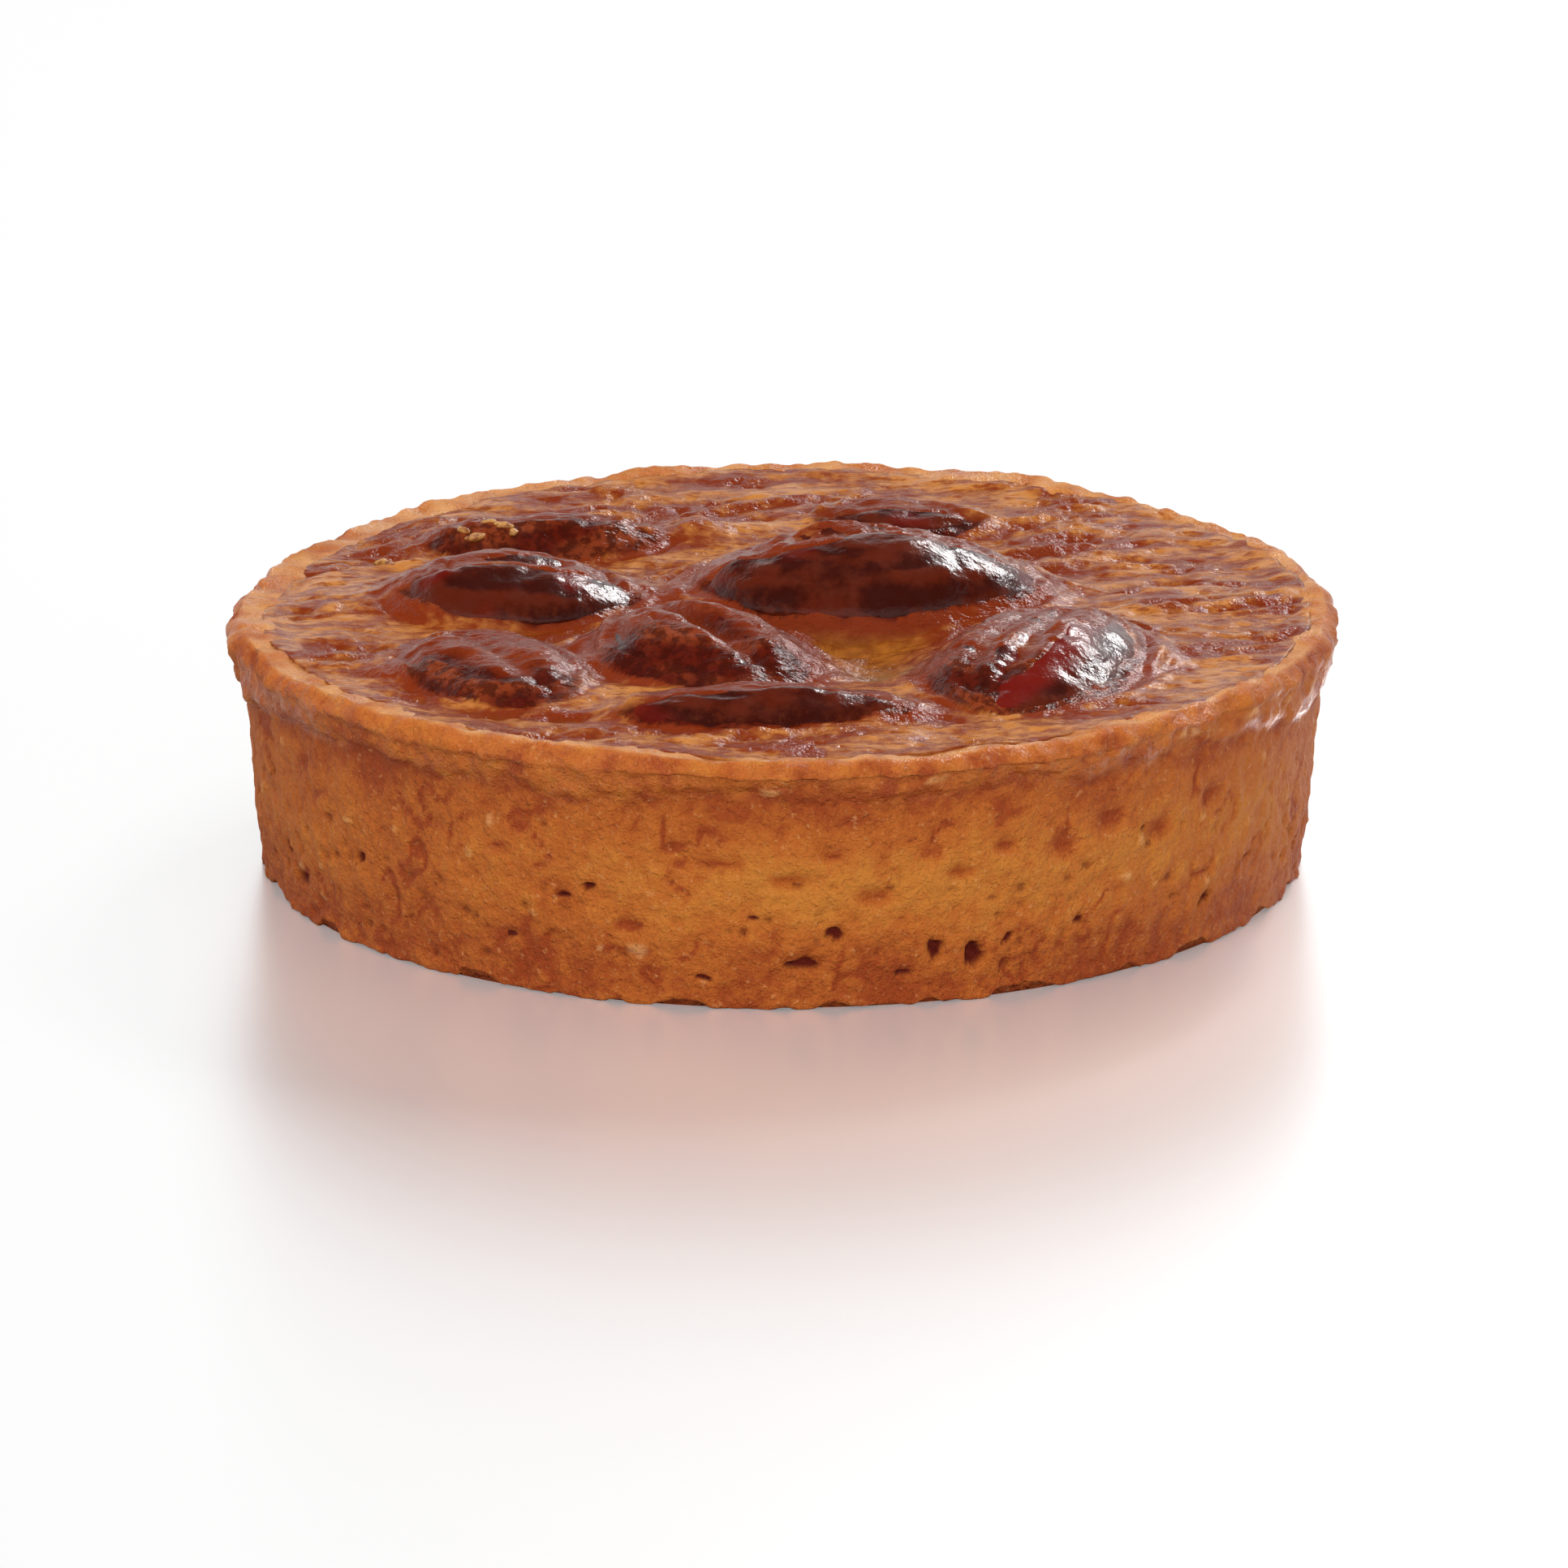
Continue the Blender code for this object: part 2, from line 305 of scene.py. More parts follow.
# Pin holes all round, more of them low down, and crumbs baked on
for _ in range(420):
    turn = random.uniform(0, math.tau)
    height = random.triangular(1.0, 5.0, 14.5) * mm
    half = random.uniform(0.28, 0.5) * mm
    pin = mark(turn, height, half, half * random.uniform(0.6, 1.1), 4, 0.2)
    deep = random.uniform(0.12, 0.35)
    pit_depth += deep * mm * pin
    # The pin holes get the same painted shade
    hole_shade_share = np.maximum(hole_shade_share, 1.6 * deep * pin)
crumb_spots = [(-15.2, 4.2, 0.8, 0.55), (-19.5, 4.3, 0.3, 0.3), (-45.0, 10.6, 0.35, 0.3),
               (-1.2, 17.2, 0.8, 0.5), (-27.0, 6.4, 0.3, 0.25)]
crumb_spots += [(random.uniform(30, 330), random.uniform(2.5, 14), random.uniform(0.25, 0.7),
                 random.uniform(0.2, 0.5)) for _ in range(46)]
for degrees, height, half_width, half_height in crumb_spots:
    crumb = mark(front + math.radians(degrees), height * mm, half_width * mm, half_height * mm, 4, 0.6)
    relief += 0.22 * mm * crumb
    pale = np.maximum(pale, crumb)
relief -= pit_depth
edge_hold = smooth_step(0, 3, row_of.astype(float)) * (1 - smooth_step(ring_count - 4, ring_count - 1,
                                                                      row_of.astype(float)))
case_points = case_points + outward * (relief * edge_hold)[:, None]
case_points[:, 2] = np.maximum(case_points[:, 2], 0.02 * mm)
reach = np.hypot(case_points[:, 0], case_points[:, 1])
too_far = np.minimum(1, (0.5 * (case_high[1] - case_low[1]) - 0.02 * mm) / reach)
case_points[:, :2] *= too_far[:, None]

# How brown: darkest at the foot, palest at the middle of the front. The dark band under the lip and the dark
# holes are painted shade.
away_from_front = np.angle(np.exp(1j * (turn_of - front - math.radians(4))))
pale_width = np.where(away_from_front > 0, 0.95, 0.40)
pale_middle = np.exp(-((away_from_front / pale_width) ** 2)) * np.exp(-(((height_of - 10 * mm) / (4 * mm)) ** 2))
# Painted shade: a dark band on the wall just under the lip's overhang
under_lip_shade = np.exp(-(((row_of - wall_rows + 1) / 7.0) ** 2))
low_down = 1 - smooth_step(1 * mm, 8 * mm, height_of)
bake = 0.42 + 0.30 * under_lip_shade + 0.30 * low_down - 0.42 * pale_middle
bake += 0.16 * grain(case_points, 7 * mm, 11) + 0.10 * grain(case_points, 2.4 * mm, 12)
bake += 0.35 * on_lip * grain(case_points, 1.8 * mm, 19)
# Painted shade in the dents and creases; the next line paints shade where the relief is low and light on the
# lumps
bake += 0.7 * dent_shade + 0.10 * on_lip - 0.25 * on_top + 0.5 * creases * (1 - on_lip)
bake -= 0.6 * (relief + pit_depth) / mm * (1 - 0.6 * on_lip)
frost = fold_edge * crumbly * smooth_step(-0.2, 0.6, grain(case_points, 0.8 * mm, 18))
frost = np.maximum(frost, 0.7 * pale)
frosty_top = 0.15 + 0.6 * smooth_step(-0.5, 0.6, grain(case_points, 2.2 * mm, 13))
frost = np.maximum(frost, on_top * frosty_top)

case_faces = ring_faces(ring_count, case_steps).tolist()
foot_ring = around * foot_radius
foot_ring[:, 2] = 0.0
first_foot = len(case_points)
case_all = np.vstack([case_points, foot_ring, [[0.0, 0.0, 0.0]], [[0.0, 0.0, filling_level - 3 * mm]]])
foot_middle = first_foot + case_steps
well_middle = foot_middle + 1
last_ring = (ring_count - 1) * case_steps
for step in range(case_steps):
    following = (step + 1) % case_steps
    case_faces.append((first_foot + step, first_foot + following, following, step))
    case_faces.append((foot_middle, first_foot + following, first_foot + step))
    case_faces.append((well_middle, last_ring + step, last_ring + following))
spare = case_steps + 2


def padded_values(numbers, underneath=0.0):
    return np.concatenate([numbers, np.full(spare, underneath)])


class Nodes:
    """Short ways to wire one Principled material, with its coordinates in millimetres."""

    def __init__(self, name):
        self.material = bpy.data.materials.new(name)
        self.material.use_nodes = True
        self.tree = self.material.node_tree
        self.shader = self.tree.nodes["Principled BSDF"]
        coordinates = self.tree.nodes.new("ShaderNodeTexCoord")
        scaled = self.tree.nodes.new("ShaderNodeVectorMath")
        scaled.operation = "SCALE"
        scaled.inputs["Scale"].default_value = 1000.0
        self.link(coordinates.outputs["Object"], scaled.inputs[0])
        self.place = scaled.outputs[0]

    def link(self, start, end):
        self.tree.links.new(start, end)

    def set(self, **sockets):
        for name, value in sockets.items():
            self.shader.inputs[name.replace("_", " ")].default_value = value

    def value(self, name):
        node = self.tree.nodes.new("ShaderNodeAttribute")
        node.attribute_name = name
        return node.outputs["Fac"]

    def noise(self, size_mm, detail=2.0, roughness=0.5, stretch=None):
        node = self.tree.nodes.new("ShaderNodeTexNoise")
        node.inputs["Scale"].default_value = 1.0 / size_mm
        node.inputs["Detail"].default_value = detail
        node.inputs["Roughness"].default_value = roughness
        place = self.place
        if stretch:
            scaled = self.tree.nodes.new("ShaderNodeVectorMath")
            scaled.operation = "MULTIPLY"
            scaled.inputs[1].default_value = stretch
            self.link(place, scaled.inputs[0])
            place = scaled.outputs[0]
        self.link(place, node.inputs["Vector"])
        return node.outputs["Fac"]

    def span(self, value, low, high, to_low=0.0, to_high=1.0):
        node = self.tree.nodes.new("ShaderNodeMapRange")
        node.interpolation_type = "SMOOTHSTEP"
        node.inputs["From Min"].default_value = low
        node.inputs["From Max"].default_value = high
        node.inputs["To Min"].default_value = to_low
        node.inputs["To Max"].default_value = to_high
        self.link(value, node.inputs["Value"])
        return node.outputs["Result"]

    def sum(self, first, second, times=1.0):
        node = self.tree.nodes.new("ShaderNodeMath")
        node.operation = "MULTIPLY_ADD"
        node.inputs[1].default_value = times
        self.link(second, node.inputs[0])
        self.link(first, node.inputs[2])
        return node.outputs[0]

    def product(self, first, second):
        node = self.tree.nodes.new("ShaderNodeMath")
        node.operation = "MULTIPLY"
        self.link(first, node.inputs[0])
        self.link(second, node.inputs[1])
        return node.outputs[0]

    def blend(self, share, first, second):
        """first where share is 0, second where it is 1; each a colour or a socket."""
        node = self.tree.nodes.new("ShaderNodeMix")
        node.data_type = "RGBA"
        self.link(share, node.inputs["Factor"])
        for colour, socket in ((first, node.inputs["A"]), (second, node.inputs["B"])):
            if isinstance(colour, tuple):
                socket.default_value = colour
            else:
                self.link(colour, socket)
        return node.outputs["Result"]

    def bumps(self, *layers):
        """Bump layers of (height socket, depth in mm)."""
        normal = None
        for height, depth in layers:
            node = self.tree.nodes.new("ShaderNodeBump")
            node.inputs["Distance"].default_value = depth * mm
            node.inputs["Strength"].default_value = 1.0
            self.link(height, node.inputs["Height"])
            if normal:
                self.link(normal, node.inputs["Normal"])
            normal = node.outputs["Normal"]
        self.link(normal, self.shader.inputs["Normal"])


golden = srgb(190, 116, 42)
brown_gold = srgb(178, 94, 32)
red_brown = srgb(148, 62, 20)
hole_shade = srgb(96, 24, 10)
pale_crumb = srgb(216, 156, 98)

pastry = Nodes("baked_shortcrust")
browning = pastry.sum(pastry.value("bake"), pastry.noise(1.3, 3, 0.6), 0.8)
browning = pastry.sum(browning, pastry.noise(0.4, 2, 0.6), 0.5)
colour = pastry.blend(pastry.span(browning, 0.55, 1.15), golden, brown_gold)
colour = pastry.blend(pastry.span(browning, 1.05, 1.6), colour, red_brown)
specks = pastry.span(pastry.noise(0.5, 2, 0.6), 0.60, 0.78, 0.0, 0.4)
colour = pastry.blend(specks, colour, pale_crumb)
colour = pastry.blend(pastry.span(pastry.value("frost"), 0.05, 1.0, 0.0, 0.75), colour, pale_crumb)
# Painted shade inside the holes and pin holes
colour = pastry.blend(pastry.span(pastry.value("hole"), 0.12, 0.8), colour, hole_shade)
pastry.link(colour, pastry.shader.inputs["Base Color"])
glazed = pastry.value("glaze")
pastry.link(pastry.span(glazed, 0.0, 1.0, 0.72, 0.28), pastry.shader.inputs["Roughness"])
pastry.set(Specular_IOR_Level=0.3, Subsurface_Weight=0.1, Subsurface_Scale=1.0 * mm)
pastry.shader.inputs["Subsurface Radius"].default_value = (1.0, 0.5, 0.25)
pastry.bumps((pastry.noise(0.7, 3, 0.65), 0.45), (pastry.noise(0.25, 2, 0.6), 0.15))

case_values = {
    "bake": padded_values(bake, 0.9),
    "frost": padded_values(frost),
    "hole": padded_values(hole_shade_share),
    "glaze": padded_values(on_lip * smooth_step(-0.6, 0.5, grain(case_points, 4 * mm, 14))),
}
crust = new_piece("shortcrust_case", case_all, case_faces, pastry.material, case_values)
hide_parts("crust")
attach(crust, "root")

# ---------------------------------------------------------------- the pecan halves
# Whole pecan halves, pushed into the filling before it baked: glossy, dark red-brown kernels with
# lengthwise grooves. Their fronts came out bare, and a skin of filling lies over their backs.

pecan_grooves = {  # where the grooves lie across the kernel, -1 to 1, and their depth
    "pecan_back_left": ((-0.2, 0.3), 0.16),
    "pecan_back_right": ((-0.1, 0.34), 0.14),
    "pecan_centre": ((0.0,), 0.42),
    "pecan_front_left": ((0.0,), 0.3),
    "pecan_front": ((0.3,), 0.2),
    "pecan_right": ((0.08, 0.46), 0.26),
    "pecan_back": ((0.3,), 0.2),
    "pecan_far_left": ((0.34,), 0.2),
}
pecan_stations = 150
pecan_sides = 96
groove_width = 0.15


def pecan_lie(node):
    """Where a pecan half lies: its middle, its axes as columns, and its length, width and heights."""
    points = np.array([tuple(vertex.co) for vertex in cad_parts[node].data.vertices])
    apart = np.linalg.norm(points[:, None] - points[None, :], axis=2)
    one, other = np.unravel_index(apart.argmax(), apart.shape)
    middle = 0.5 * (points[one] + points[other])
    along = points[other] - points[one]
    along *= np.sign(along[0]) / np.linalg.norm(along)
    across = points - middle
    across = across - np.outer(across @ along, along)
    up = np.linalg.eigh(across.T @ across)[1][:, 1]
    up = up * np.sign(up[2])
    side = np.cross(up, along)
    axes = np.stack([along, side, up], axis=1)
    local = (points - middle) @ axes
    return middle, axes, apart.max(), np.ptp(local[:, 1]), local[:, 2].max(), -local[:, 2].min()


def pecan_shape(node, seed):
    """The kernel's skin as rings of points in world space, before the syrup wrinkled on it."""
    middle, axes, length, width, dome, belly = pecan_lie(node)
    turn = np.pi * (np.arange(pecan_stations) + 0.35) / (pecan_stations - 0.3)
    along = -np.cos(turn)[:, None]
    fullness = np.maximum(1 - np.abs(along) ** 2.3, 0) ** 0.6
    angle = np.linspace(0, math.tau, pecan_sides, endpoint=False)[None, :]
    across = np.cos(angle) + 0 * along
    rise = np.sin(angle) + 0 * along
    bend = 0.06 * np.sin(2.6 * along + seed)
    grooves, groove_depth = pecan_grooves[node]
    groove = sum(np.exp(-(((across - at - bend) / groove_width) ** 2)) for at in grooves)
    ridge_wobble = 1 + 0.05 * np.sin(5.1 * along + 1.7 * seed + 2.0 * across)
    top = 0.94 * dome * fullness**1.05 * np.abs(rise) ** 1.15 * (1 - groove_depth * groove * fullness)
    height = np.where(rise > 0, top * ridge_wobble, belly * fullness * rise)
    if node == "pecan_back_left":
        height = np.where(rise > 0, height * (1 - 0.48 * smooth_step(-0.5, 0.85, along)), height)
    half_width = 0.5 * width * fullness * (1 - 0.08 * along) * (1 + 0.03 * np.sin(7 * along + seed))
    local = np.stack([0.5 * length * along + 0 * across, half_width * across, height], axis=-1)
    local = local.reshape(-1, 3)
    tips = np.array([[-0.5 * length, 0, 0], [0.5 * length, 0, 0]])
    local = np.vstack([local, tips])
    local[:, 2] += 0.16 * mm * grain(local, 3.4 * mm, 20 + seed) - 0.16 * mm
    local[:, 2] += 0.07 * mm * grain(local, 1.5 * mm, 30 + seed)
    return middle + local @ axes.T


def pecan_faces():
    faces = ring_faces(pecan_stations, pecan_sides)[:, ::-1].tolist()
    first_tip = pecan_stations * pecan_sides
    last_ring = (pecan_stations - 1) * pecan_sides
    for side in range(pecan_sides):
        following = (side + 1) % pecan_sides
        faces.append((first_tip, side, following))
        faces.append((first_tip + 1, last_ring + following, last_ring + side))
    return faces


# The tart's top as a raster, to know how high the nuts stand and to let the skin's folds run on
# across them
cell = 0.2 * mm
raster_half = math.ceil((mouth_radius + 2 * mm) / cell)
raster_side = 2 * raster_half + 1
raster_axis = (np.arange(raster_side) - raster_half) * cell
raster_x, raster_y = np.meshgrid(raster_axis, raster_axis, indexing="ij")
deep = filling_level - 6 * mm


def blurred(field, size):
    """Gaussian blur of a raster, by way of its spectrum."""
    frequency = np.fft.fftfreq(field.shape[0], d=cell)
    keep = np.exp(-2 * (np.pi * size * frequency) ** 2)
    spectrum = np.fft.fft2(field) * keep[:, None] * keep[None, :]
    return np.real(np.fft.ifft2(spectrum))


def read_raster(field, x, y):
    """Raster values between the cells."""
    column = np.clip(x / cell + raster_half, 0, raster_side - 1.001)
    row = np.clip(y / cell + raster_half, 0, raster_side - 1.001)
    low_column = column.astype(int)
    low_row = row.astype(int)
    a = column - low_column
    b = row - low_row
    return ((1 - a) * (1 - b) * field[low_column, low_row] + a * (1 - b) * field[low_column + 1, low_row]
            + (1 - a) * b * field[low_column, low_row + 1] + a * b * field[low_column + 1, low_row + 1])


def seen_from_above(points, faces):
    """How high a shape stands in each cell of the raster; deep where it isn't."""
    tree = BVHTree.FromPolygons([tuple(point) for point in points], faces)
    heights = np.full((raster_side, raster_side), deep)
    low = np.floor(points.min(axis=0)[:2] / cell).astype(int) + raster_half
    high = np.ceil(points.max(axis=0)[:2] / cell).astype(int) + raster_half
    start = case_high[2] + 20 * mm
    down = Vector((0, 0, -1))
    for column in range(low[0], high[0] + 1):
        for row in range(low[1], high[1] + 1):
            hit = tree.ray_cast(Vector((raster_axis[column], raster_axis[row], start)), down)[0]
            if hit:
                heights[column, row] = hit.z
    return heights


nut_faces = pecan_faces()
nut_points = {}
nut_heights = {}
for seed, node in enumerate(pecan_grooves):
    nut_points[node] = pecan_shape(node, seed)
    nut_heights[node] = seen_from_above(nut_points[node], nut_faces)
nuts_height = np.max(list(nut_heights.values()), axis=0)
nuts_wide = nuts_height.copy()
for _ in range(20):
    for shift_x, shift_y in ((1, 0), (-1, 0), (0, 1), (1, 1), (-1, 1), (0, -1)):
        slope_down = (0.7 if shift_y >= 0 else 2.5) * cell * math.hypot(shift_x, shift_y)
        nuts_wide = np.maximum(nuts_wide, np.roll(nuts_wide, (shift_x, shift_y), axis=(0, 1)) - slope_down)
hump = blurred(np.maximum(nuts_wide, filling_level - 0.5 * mm), 0.9 * mm)
rise_x, rise_y = np.gradient(hump, cell)

# Folds in the skin: streaks that run along the humps' contours, and sideways on the flats
turn_x = -rise_y
turn_y = rise_x
flat_share = np.exp(-((np.hypot(rise_x, rise_y) / 0.12) ** 2))
along_sign = np.sign(turn_x + 1e-9)
fold_x = turn_x * along_sign + 0.12 * flat_share
fold_y = turn_y * along_sign + 0.02 * flat_share
fold_size = np.hypot(fold_x, fold_y) + 1e-9
fold_x = blurred(fold_x / fold_size, 0.5 * mm)
fold_y = blurred(fold_y / fold_size, 0.5 * mm)
fold_size = np.hypot(fold_x, fold_y) + 1e-9
fold_x /= fold_size
fold_y /= fold_size


def streaks(seed, width, reach):
    """Random streaks of a width that run along the folds for a reach, about -1 to 1."""
    random = np.random.default_rng(seed)
    field = blurred(random.normal(size=(raster_side, raster_side)), width)
    total = np.zeros_like(field)
    for way in (-1, 1):
        x, y = raster_x.copy(), raster_y.copy()
        for _ in range(int(reach / (0.8 * cell))):
            total += read_raster(field, x, y)
            x = x + way * 0.8 * cell * read_raster(fold_x, x, y)
            y = y + way * 0.8 * cell * read_raster(fold_y, x, y)
    total -= blurred(total, 4 * width)
    return total / total.std()


fine_folds = streaks(41, 0.24 * mm, 1.8 * mm)
wide_folds = streaks(42, 0.42 * mm, 3.0 * mm)
broad_folds = streaks(44, 0.6 * mm, 2.6 * mm)

# Bare where a nut faces the front or the right, covered where it faces up or back
patchy = grain(np.stack([raster_x, raster_y, 0 * raster_x], axis=-1).reshape(-1, 3), 2.6 * mm, 43)
patchy = patchy.reshape(raster_side, raster_side)
bare = smooth_step(0.0, 0.14, rise_y - 0.2 * rise_x + 0.10 * patchy)
bare *= smooth_step(0.0, 0.6 * mm, nuts_height - filling_level)
for node in ("pecan_centre", "pecan_front_left", "pecan_far_left"):
    bare = np.where(nut_heights[node] > deep, 0.0, bare)
right_flank = smooth_step(0.0, 0.16, 0.5 * rise_y - 1.0 * rise_x + 0.1 * patchy)
bare = np.where(nut_heights["pecan_right"] > deep, np.minimum(bare, right_flank), bare)
facing_front = smooth_step(0.1, 0.4, rise_y)
facing_front_soft = blurred(facing_front, 0.4 * mm)
near_nuts = smooth_step(-0.35 * mm, 0.9 * mm, blurred(hump, 2.2 * mm) - filling_level)
fold_weight = smooth_step(0.02, 0.3, np.hypot(rise_x, rise_y))

nut_brown = srgb(84, 26, 8)
nut_dark = srgb(54, 12, 5)
nut_red = srgb(110, 14, 6)
nut_cream = srgb(214, 150, 84)

kernel = Nodes("glazed_pecan")
tone = kernel.sum(kernel.noise(3.5, 3, 0.55), kernel.noise(0.8, 2, 0.6), 0.5)
tone = kernel.sum(tone, kernel.value("fold"), 0.16)
colour = kernel.blend(kernel.span(tone, 0.55, 0.95), nut_dark, nut_brown)
colour = kernel.blend(kernel.span(kernel.value("red"), 0.0, 1.0, 0.0, 0.8), colour, nut_red)
grains = kernel.span(kernel.noise(0.5, 2, 0.6), 0.52, 0.72, 0.0, 0.4)
colour = kernel.blend(kernel.product(grains, kernel.value("grainy")), colour, srgb(138, 70, 28))
colour = kernel.blend(kernel.value("scuff"), colour, nut_cream)
kernel.link(colour, kernel.shader.inputs["Base Color"])
kernel.link(kernel.span(kernel.noise(1.6, 2, 0.5), 0.3, 0.7, 0.14, 0.26),
            kernel.shader.inputs["Roughness"])
kernel.set(Specular_IOR_Level=0.24, Subsurface_Weight=0.08, Subsurface_Scale=1.0 * mm)
kernel.shader.inputs["Subsurface Radius"].default_value = (1.0, 0.3, 0.15)
kernel.bumps((kernel.noise(0.9, 3, 0.6), 0.11))

for seed, node in enumerate(pecan_grooves):
    points = nut_points[node].copy()
    x, y = points[:, 0], points[:, 1]
    above = smooth_step(-0.5 * mm, 0.8 * mm, points[:, 2] - filling_level)
    steep = read_raster(fold_weight, x, y)
    relief = 0.05 * mm * read_raster(fine_folds, x, y) + 0.08 * mm * read_raster(wide_folds, x, y)
    points[:, 2] += above * (0.3 + 0.5 * steep) * relief
    low, high = points.min(axis=0), points.max(axis=0)
    values = {
        "fold": read_raster(wide_folds, x, y),
        "red": 0.6 * smooth_step(0.1, 0.6, grain(points, 5 * mm, 50 + seed)),
        "grainy": 0.4 * smooth_step(0.2, -0.6, (points[:, 2] - filling_level) / (3 * mm) - 0.4),
        "scuff": np.zeros(len(points)),
    }
    if node == "pecan_back_right":
        ridge_spot = np.hypot((x - low[0] - 0.53 * (high[0] - low[0])) / (2.3 * mm),
                              (y - low[1] - 0.5 * (high[1] - low[1])) / (0.6 * mm))
        values["scuff"] = np.exp(-(ridge_spot**4)) * smooth_step(0, 1, above)
    if node == "pecan_right":
        middle_lobe = np.tile(np.cos(np.linspace(0, math.tau, pecan_sides, endpoint=False)), pecan_stations)
        middle_lobe = np.append(middle_lobe, (0, 0))
        values["red"] = np.exp(-(((middle_lobe + 0.2) / 0.34) ** 4))
    nut = new_piece(node + "_kernel", points, nut_faces, kernel.material, values)
    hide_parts(node)
    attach(nut, "root")

# ---------------------------------------------------------------- broken nut
# Bits of a kernel that broke as it went in, lying on the skin at the back left: dry, pale and rough.

bit_material = Nodes("broken_pecan")
bit_colour = bit_material.blend(bit_material.span(bit_material.noise(0.5, 2, 0.6), 0.4, 0.65),
                                srgb(186, 134, 70), srgb(132, 74, 30))
bit_material.link(bit_colour, bit_material.shader.inputs["Base Color"])
bit_material.set(Roughness=0.5, Specular_IOR_Level=0.3)
bit_material.bumps((bit_material.noise(0.4, 2, 0.5), 0.1))
bit_places = (  # (x, y, turn, half length, half width) in mm and degrees
    (-23.4, 15.6, 35, 1.1, 0.45), (-21.6, 16.6, -20, 0.9, 0.4), (-20.6, 15.8, 70, 0.7, 0.35),
    (-22.6, 17.2, 10, 0.6, 0.35), (-24.6, 16.8, -50, 0.6, 0.3), (-30.8, 13.0, 20, 0.6, 0.35),
    (13.4, 15.2, 25, 0.8, 0.4), (14.6, 12.6, -30, 0.6, 0.3),
)
bit_turn = np.linspace(0, math.tau, 20, endpoint=False)
bit_points = []
bit_faces = []
for seed, (x, y, turn, half_length, half_width) in enumerate(bit_places):
    rings = []
    for climb in np.radians(np.linspace(-80, 80, 11)):
        ring = np.stack([half_length * np.cos(climb) * np.cos(bit_turn),
                         half_width * np.cos(climb) * np.sin(bit_turn),
                         0.3 * np.sin(climb) + 0 * bit_turn], axis=1)
        rings.append(ring * mm)
    bit = np.vstack(rings + [[[0, 0, -0.3 * mm]], [[0, 0, 0.3 * mm]]])
    bit *= 1 + 0.35 * grain(bit, 0.5 * mm, 80 + seed)[:, None]
    cosine, sine = math.cos(math.radians(turn)), math.sin(math.radians(turn))
    bit = bit @ np.array([[cosine, sine, 0], [-sine, cosine, 0], [0, 0, 1]])
    stands_on = read_raster(blurred(np.maximum(nuts_wide, filling_level), 0.35 * mm),
                            np.array([x * mm]), np.array([y * mm]))[0]
    bit += (x * mm, y * mm, stands_on + 0.15 * mm)
    first = sum(len(points) for points in bit_points)
    bit_faces += (ring_faces(11, 20) + first).tolist()
    for step in range(20):
        following = (step + 1) % 20
        bit_faces.append((first + 220, first + following, first + step))
        bit_faces.append((first + 221, first + 200 + step, first + 200 + following))
    bit_points.append(bit)
bits = new_piece("broken_pecan_bits", np.vstack(bit_points), bit_faces, bit_material.material)
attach(bits, "root")

# ---------------------------------------------------------------- the filling
# Syrup, butter and egg, baked to a custard under a glossy caramel skin. The skin is flush with the
# lip, wrinkles as it shrinks, climbs over the nuts' backs and has sunk between them.

top_cells = 280
square = np.linspace(-1, 1, top_cells + 1)
square_u, square_v = np.meshgrid(square, square, indexing="ij")
skin_x = (square_u * np.sqrt(1 - 0.5 * square_v**2)).ravel()
skin_y = (square_v * np.sqrt(1 - 0.5 * square_u**2)).ravel()
skin_turn = np.mod(np.arctan2(skin_y, skin_x), math.tau)
skin_edge = np.interp(skin_turn, case_turn, mouth_edge, period=math.tau) + 0.75 * mm
rim_level = np.interp(skin_turn, case_turn, lip_top, period=math.tau) - 0.16 * mm
skin_x *= skin_edge
skin_y *= skin_edge
flat_points = np.stack([skin_x, skin_y, 0 * skin_x], axis=1)

hollows = (  # (x, y, radius, depth) in mm
    (5.5, -9.5, 7.0, 1.3), (8.2, -15.5, 2.4, 1.2), (-13.0, -6.0, 3.2, 0.7), (6.5, -4.5, 6.0, 0.8),
    (-19.0, -4.8, 5.5, 0.7), (-21.0, -25.5, 5.0, 0.4),
    (-30.0, -8.0, 4.0, 0.35), (24.0, 8.0, 7.0, 0.3), (15.0, 16.0, 5.0, 0.4),
)
swells = (  # nut scraps just under the skin
    (-6.8, 21.5, 2.6, 1.3), (-27.0, 22.0, 4.0, 0.7), (2.0, 30.0, 4.0, 0.35), (24.0, 22.0, 5.0, 0.4),
    (32.0, 2.0, 5.0, 0.3), (-33.0, 2.0, 3.0, 0.4), (-3.0, 24.0, 5.0, 0.4), (21.0, -20.5, 6.0, 0.5),
)
level = np.full(len(skin_x), filling_level)
for x, y, radius, depth in hollows:
    level -= depth * mm * np.exp(-(((skin_x - x * mm) ** 2 + (skin_y - y * mm) ** 2) / (radius * mm) ** 2))
for x, y, radius, height in swells:
    level += height * mm * np.exp(-(((skin_x - x * mm) ** 2 + (skin_y - y * mm) ** 2) / (radius * mm) ** 2))
from_middle = np.hypot(skin_x, skin_y)
inside_rim = 1 - smooth_step(skin_edge - 1.5 * mm, skin_edge - 0.3 * mm, from_middle)
level += 0.25 * mm * grain(flat_points, 7 * mm, 60) * inside_rim
level += 0.14 * mm * grain(flat_points, 3 * mm, 61) * inside_rim
near_rim = smooth_step(skin_edge - 3.0 * mm, skin_edge - 0.4 * mm, from_middle)
level += (rim_level - level) * near_rim + 0.12 * mm * near_rim * grain(flat_points, 1.6 * mm, 66)

